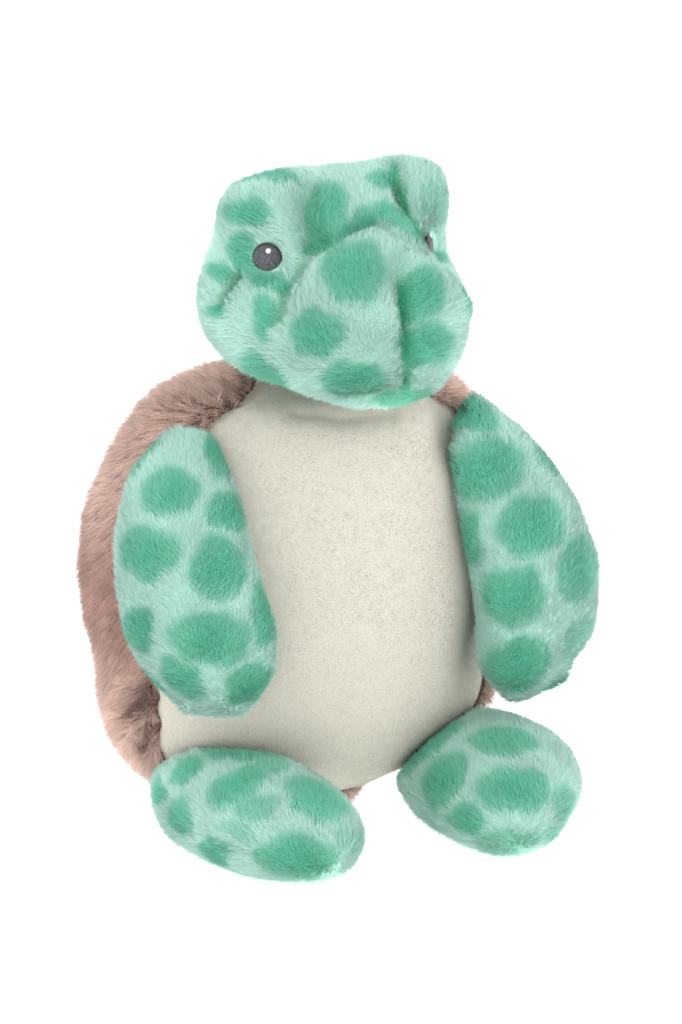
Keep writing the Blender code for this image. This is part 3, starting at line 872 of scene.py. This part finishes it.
def spot_field(spots):
    """How much of the dark dye reaches each point: 1 inside a spot, 0 outside, soft at its edge."""

    def dyed(points):
        wobble_size, wobble_reach = 0.012, 0.0016
        hills = [waves(points, wobble_size, 40 + axis)[0] for axis in range(3)]
        moved = points + np.column_stack(hills) * wobble_reach
        best = np.zeros(len(points))
        for centre, axes, depth in spots:
            reach = np.linalg.norm((moved - centre) @ axes, axis=1)
            middle = 0.82 + 0.18 * np.clip((0.85 - reach) / 0.5, 0, 1)
            best = np.maximum(best, np.clip((1.17 - reach) / 0.28, 0, 1) * middle * depth)
        return best

    return dyed


def photo_spots(tree, pixels, reach=0.016):
    """Spots where the photograph shows them: centre, half width, half height, turn and dye."""
    spots = []
    for x, y, half_width, half_height, *more in pixels:
        centre = on_photo(tree, (x, y))
        if centre is None:
            continue
        turn, dye = (*more, 0, 1)[:2] if len(more) != 1 else (more[0], 1)
        angle = math.radians(turn)
        first = to_right * math.cos(angle) + to_top * math.sin(angle)
        second = to_top * math.cos(angle) - to_right * math.sin(angle)
        axes = np.column_stack(
            (
                np.array(first) * photo_scale / half_width,
                np.array(second) * photo_scale / half_height,
                np.array(to_camera) / reach,
            )
        )
        spots.append((np.array(centre), axes, dye))
    return spots


def hidden_spots(cover, seen, spacing, seed):
    """More spots of the same print on the sides that the photograph doesn't show."""
    smallest, largest, turned_off = 0.0075, 0.0100, -0.25
    choose = random.Random(seed)
    points, normals = points_of(cover), normals_of(cover)
    facing = normals @ np.array(to_camera)
    centres = [centre for centre, _, _ in seen]
    added = []
    order = list(np.flatnonzero(facing < turned_off))
    choose.shuffle(order)
    for number in order:
        place = points[number]
        if all(np.linalg.norm(place - centre) > spacing for centre in centres):
            centres.append(place)
            size = choose.uniform(smallest, largest)
            added.append((place, np.eye(3) / size, 1))
    return seen + added


head_spot_pixels = (
    (268, 178, 32, 11), (251, 216, 25, 12), (327, 213, 22, 37), (381, 184, 15, 10),
    (248, 258, 15, 22, 25),
    (270, 282, 22, 10, -20), (221, 275, 13, 9), (354, 277, 31, 32), (318, 339, 30, 21),
    (419, 297, 22, 28),
    (424, 347, 29, 19), (354, 379, 28, 17), (272, 375, 34, 14, -35), (228, 358, 20, 12, -30),
    (407, 397, 28, 11),
    (268, 322, 10, 24), (222, 312, 12, 9), (430, 208, 17, 22, 0, 0.4), (304, 398, 34, 9, -20),
    (314, 169, 25, 6),
    (452, 262, 12, 8), (319, 247, 18, 11, 15), (345, 233, 20, 9, 25), (368, 221, 14, 9, 25),
    (386, 215, 13, 10, -15), (401, 226, 14, 10, -45), (417, 240, 15, 9, -38), (434, 254, 13, 8, -35),
    (394, 178, 4, 14, 22), (402, 203, 4, 14, 15), (413, 226, 4, 15, 28),  # along the far crease: thin dark spots as painted shade in it
)
spot_spacing = 0.0235
head_spots = photo_spots(head_tree, head_spot_pixels)
head_dye = spot_field(hidden_spots(head_cover, head_spots, spot_spacing, 3))
keep_value(head_cover, "spot", head_dye(points_of(head_cover)))

# Mint plush printed with rows of darker green spots, whose edges the pile blurs. Its third colour is
# painted shade in creases and seams.
mint_plush = plush("mint_plush", "BCE7D9", "69C6A6", "2E9A72", 0.18, 0.92)
mint_back = backing("mint_backing", "AEDFCC", "56AA8C", "1E7A58")
head_cut = {
    "length": 0.0040,
    "thickness": 0.00036,
    "lean": 1.15,
    "swirl": 0.7,
    "tuft": 0.0032,
    "pull": 0.20,
    "relief": 0.10,
    "scatter": 0.05,
    "roundness": 0.6,
    "tuft_shade": 0.04,
}
limb_cut = head_cut | {"length": 0.0034, "lean": 1.05, "swirl": 0.5, "pull": 0.15}
head_cover.data.materials.append(mint_back)
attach(head_cover, "head")
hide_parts("head_stuffing")


chin_tip = np.array(on_photo(head_tree, (374, 402)))


def from_mouth(points):
    """Combed from the mouth up over the face and back, and parted at each crease and eye."""
    way = points - chin_tip
    way /= np.maximum(np.linalg.norm(way, axis=1, keepdims=True), 1e-6)
    rounds = [[eye, eye + Vector((0, 0, 0.0001))] for eye in eye_places]
    way = parted(points, way, [line for line, _, _ in creases["head_cover"]])
    return parted(points, way, rounds, reach=0.0070, strength=4)


for name, numbers, count, stands_for in (
    ("head_left_pile", (0,), 52000, ("head_left_panel",)),
    ("head_right_pile", (1,), 52000, ("head_right_panel",)),
    ("muzzle_left_pile", (2,), 18000, ("muzzle_left_panel",)),
    ("muzzle_right_pile", (3,), 18000, ("muzzle_right_panel",)),
    ("chin_pile", (4,), 12000, ("chin_panel",)),
):
    pile = grow_pile(
        name, head_cover, numbers, count, mint_plush, 50 + numbers[0], from_mouth, head_cut, head_dye
    )
    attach(pile, "head")
    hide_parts(*stands_for)

# The eyes
#
# Each is embroidered through the plush: satin stitches of grey thread side by side over a padded
# round, a darker thread round its edge, and a few white stitches for the glint.
grey_thread, grey_shader = new_material(
    "grey_rayon_thread", {"Roughness": 0.42, "Specular IOR Level": 0.5, "Sheen Weight": 0.2}
)
thread_place = add_node(grey_thread, "ShaderNodeTexCoord")
thread_flecks = add_node(
    grey_thread,
    "ShaderNodeTexNoise",
    values={"Scale": 1 / 0.0007, "Detail": 3.0},
    links={"Vector": thread_place.outputs["Object"]},
)
thread_shades = add_node(
    grey_thread, "ShaderNodeValToRGB", links={"Fac": thread_flecks.outputs["Fac"]}
)
thread_shades.color_ramp.elements[0].position = 0.35
thread_shades.color_ramp.elements[0].color = linear("303138")
thread_shades.color_ramp.elements[1].position = 0.68
thread_shades.color_ramp.elements[1].color = linear("66686F")
grey_thread.node_tree.links.new(thread_shades.outputs["Color"], grey_shader.inputs["Base Color"])
dark_thread, _ = new_material(
    "dark_rayon_thread", {"Roughness": 0.5, "Base Color": linear("23232A")}
)
white_thread, _ = new_material(
    "white_rayon_thread", {"Roughness": 0.4, "Base Color": linear("F5F5F7")}
)

eye_rise = 0.0014  # of the padding under the stitches
glint_radius, glint_up = 0.0012, 0.0033
glint_places = {"left": (-0.0014, 0.0014), "right": (0.0009, 0.0018)}  # towards the nose, and rise
off_skin, edge_off_skin, edge_thread = 0.0008, 0.0006, 0.0006

for side, eye, facing in zip(("left", "right"), eye_places, eye_facings):
    turn = facing.to_track_quat("Z", "Y").to_matrix().to_4x4()
    glint_across, glint_rise = glint_places[side]
    glint_shift = (glint_across, glint_up, 0)
    for name, radius, rise, stitches, finish, shift, stands_for in (
        ("eye", eye_radius, eye_rise, 26, grey_thread, (0, 0, 0), f"eye_{side}"),
        ("eye_glint", glint_radius, glint_rise, 8, white_thread, glint_shift, f"eye_glint_{side}"),
    ):
        threads = []
        for number in range(stitches):
            across = (number + 0.5) / stitches * 2 - 1
            half = math.sqrt(1 - across * across) * radius
            bpy.ops.mesh.primitive_cylinder_add(
                vertices=6, radius=radius / stitches * 1.25, depth=2 * half
            )
            thread = bpy.context.object
            bpy.ops.object.mode_set(mode="EDIT")
            bpy.ops.mesh.select_all(action="SELECT")
            bpy.ops.mesh.subdivide(number_cuts=4)
            bpy.ops.object.mode_set(mode="OBJECT")
            points = points_of(thread)
            dome = np.maximum(0, 1 - (points[:, 2] / radius) ** 2 - across * across) ** 0.5
            set_points(
                thread,
                np.column_stack(
                    (points[:, 0] + across * radius, points[:, 2], points[:, 1] + rise * dome)
                ),
            )
            threads.append(thread)
        select_only(threads)
        bpy.ops.object.join()
        disc = bpy.context.object
        disc.name = disc.data.name = f"{name}_{side}_stitches"
        disc.data.transform(Matrix.Translation(shift))
        disc.data.transform(Matrix.Translation(eye + facing * off_skin) @ turn)
        select_only([disc])
        bpy.ops.object.mode_set(mode="EDIT")
        bpy.ops.mesh.select_all(action="SELECT")
        bpy.ops.mesh.normals_make_consistent(inside=False)
        bpy.ops.object.mode_set(mode="OBJECT")
        bpy.ops.object.shade_smooth()
        disc.data.materials.append(finish)
        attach(disc, "head")
        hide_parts(stands_for)
    bpy.ops.mesh.primitive_torus_add(
        major_radius=eye_radius, minor_radius=edge_thread, major_segments=40, minor_segments=8
    )
    edge = bpy.context.object
    edge.name = edge.data.name = f"eye_{side}_edge"
    edge.data.transform(Matrix.Translation(eye + facing * edge_off_skin) @ turn)
    edge.data.materials.append(dark_thread)
    bpy.ops.object.shade_smooth()
    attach(edge, "head")

# The neck seam
#
# The raw edges of head and body, turned in and oversewn, hidden where the head sits on the body.
neck_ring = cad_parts["neck_seam_ring"]
neck_ring.data.materials.clear()
# The turned-in edge gets a darker mint than the pile's, as painted shade where it sits under the head.
neck_ring.data.materials.append(backing("shaded_turned_in_mint", "86BCA6", "86BCA6", "1E7A58"))

# The arms
#
# Each is two panels of mint plush, sewn round the edge and turned, filled with fibre and closed by
# its seam to the body.
limb_voxel = 0.0034
limb_fill = 0.002
limb_smoothing = 6
# Depth of the seam groove, and how much painted shade darkens it.
limb_groove = (0.0006, 0.10)
limb_strands = (34000, 18000)  # on the side that shows, and on the other one

right_arm_spot_pixels = (
    (172, 495, 26, 25), (230, 515, 22, 18), (221, 458, 16, 26), (149, 557, 31, 26), (218, 571, 28, 31),
    (264, 616, 16, 33), (211, 642, 38, 27), (140, 633, 19, 22), (251, 686, 24, 22),
    (186, 680, 27, 13, -45),
    (189, 428, 20, 8), (255, 719, 14, 5), (120, 600, 8, 20),
)
left_arm_spot_pixels = (
    (468, 416, 36, 19, -22), (487, 471, 41, 30, 15), (533, 529, 36, 31, 20),
    (547, 467, 17, 9, -40, 0.7),
    (468, 543, 15, 33), (513, 599, 32, 30), (578, 573, 23, 35, 0, 0.9), (471, 617, 13, 18),
    (572, 642, 10, 27, -22, 0.6), (518, 667, 33, 29, 35),
)


def make_limb(name, kind, parts, spot_pixels, comb, seed, inset, fuller=()):
    """A flipper: two panels over fibre, with its print and its pile."""
    panels = tuple(f"{name}_{kind}_{part}_panel" for part in parts)
    cover = stuffed(
        f"{name}_{kind}_cover",
        panels,
        (f"{name}_{kind}_stuffing",),
        limb_voxel,
        limb_fill,
        limb_smoothing,
        limb_groove,
        inset=inset,
        levels=1,
    )
    for line, width, depth in fuller:
        draw_in(cover, line, width, depth, 0)
    stand_on_table(cover)
    tree = tree_of(cover)
    seen = photo_spots(tree, spot_pixels)
    dye = spot_field(hidden_spots(cover, seen, spot_spacing, seed))
    keep_value(cover, "spot", dye(points_of(cover)))
    cover.data.materials.append(mint_back)
    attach(cover, f"{name}_{kind}")
    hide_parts(f"{name}_{kind}_stuffing")
    for number, part in enumerate(parts):
        pile = grow_pile(
            f"{name}_{kind}_{part}_pile",
            cover,
            (number,),
            limb_strands[number],
            mint_plush,
            seed + number,
            comb,
            limb_cut,
            dye,
        )
        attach(pile, f"{name}_{kind}")
        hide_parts(panels[number])


def towards_shoulder(points):
    """Combed up, and a little back."""
    return np.zeros_like(points) + (0, 0.35, 1)


right_arm_skin = tree_of(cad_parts["right_arm_outer_panel"])
make_limb(
    "right",
    "arm",
    ("outer", "inner"),
    right_arm_spot_pixels,
    towards_shoulder,
    70,
    0.0008,
    [
        (line_on(right_arm_skin, ((150, 690), (168, 706), (188, 716))), 0.010, 0.0042),
        (line_on(right_arm_skin, ((240, 716), (262, 712))), 0.010, -0.0030),
    ],
)
left_arm_skin = tree_of(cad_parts["left_arm_outer_panel"])
make_limb(
    "left",
    "arm",
    ("outer", "inner"),
    left_arm_spot_pixels,
    towards_shoulder,
    80,
    0.0008,
    [
        (line_on(body_tree, ((450, 404), (452, 434))), 0.013, -0.0060),
        (line_on(left_arm_skin, ((578, 664), (566, 680), (552, 694))), 0.010, 0.0034),
    ],
)

# The legs
#
# Paddles like the arms, with a sole, that lie on the table.
right_leg_spot_pixels = (
    (245, 756, 50, 10, -5), (190, 774, 18, 12, 30), (240, 788, 36, 18, 36), (318, 800, 34, 28, -35),
    (256, 811, 22, 14, 0, 0.7), (294, 859, 42, 20), (219, 852, 18, 14), (183, 820, 14, 20),
    (163, 795, 10, 12),
    (270, 772, 22, 9, 10, 0.8), (350, 842, 16, 12, -40, 0.4), (240, 834, 20, 9, -20, 0.5),
)
left_leg_spot_pixels = (
    (505, 743, 37, 21), (516, 792, 37, 26), (444, 783, 31, 22, 60), (572, 755, 14, 20),
    (434, 745, 48, 15, 42),
    (468, 822, 22, 14), (507, 842, 32, 12, 0, 0.6), (551, 836, 16, 12, 0, 0.6),
    (562, 806, 14, 16, 0, 0.7),
    (516, 714, 34, 7, 0, 0.7),
)


def towards_hip(points):
    """Combed up from the toes and back to the hip."""
    return np.zeros_like(points) + (0, 1, 1.2)


leg_parts = ("upper", "sole")
make_limb("right", "leg", leg_parts, right_leg_spot_pixels, towards_hip, seed=90, inset=0.0006)
make_limb("left", "leg", leg_parts, left_leg_spot_pixels, towards_hip, seed=95, inset=0.0004)
